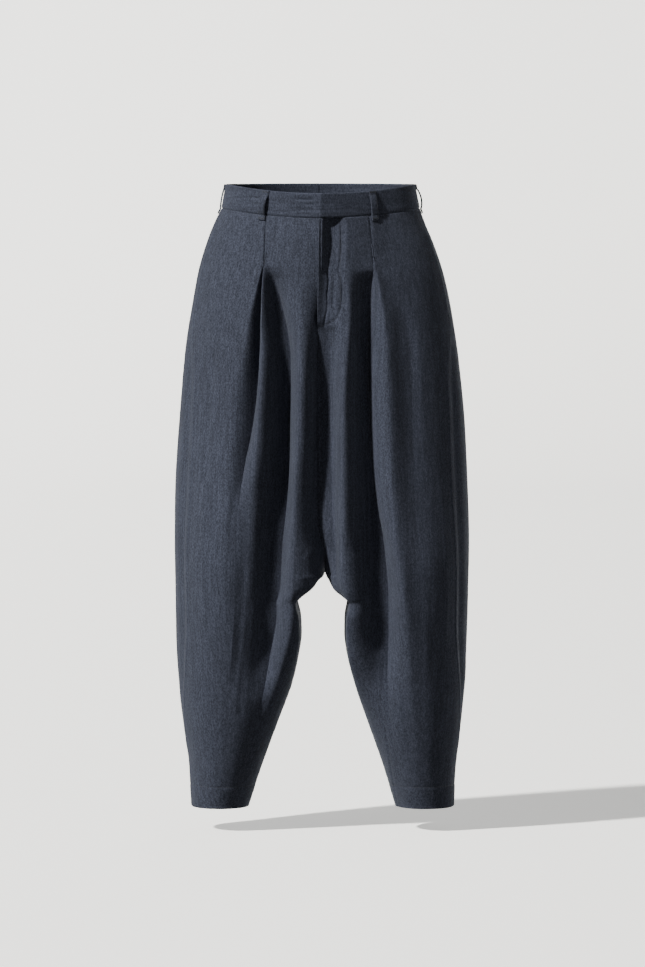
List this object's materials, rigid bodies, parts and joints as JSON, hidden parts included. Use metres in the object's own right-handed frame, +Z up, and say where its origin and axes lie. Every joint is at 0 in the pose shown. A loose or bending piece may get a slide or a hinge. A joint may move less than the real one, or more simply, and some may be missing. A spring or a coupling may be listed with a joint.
{
  "type": "baggy drop-crotch trousers",
  "caption": "Baggy drop-crotch trousers in dark navy cloth, pleated at the front and tapered to narrow hems, filled out as if worn.",
  "frame": {"origin": "centre of the waist, at the height of the seam between waistband and panels at the sides", "axes": "+Z up through the waist, +X towards the wearer's left, -Y towards the front"},
  "size_m": [0.4588, 0.3109, 0.976],
  "materials": {
    "panel_cloth": "matte dark navy cloth with a fine crepe grain",
    "band_cloth": "the same cloth, doubled over a stiffener"
  },
  "bodies": {
    "root": {"front_right": "panel_cloth", "front_left": "panel_cloth", "back_right": "panel_cloth", "back_left": "panel_cloth", "waistband_right": "band_cloth", "waistband_left": "band_cloth", "loop_front_right": "band_cloth", "loop_front_left": "band_cloth", "loop_side_right": "band_cloth", "loop_side_left": "band_cloth", "loop_back": "band_cloth"}
  },
  "joints": []
}
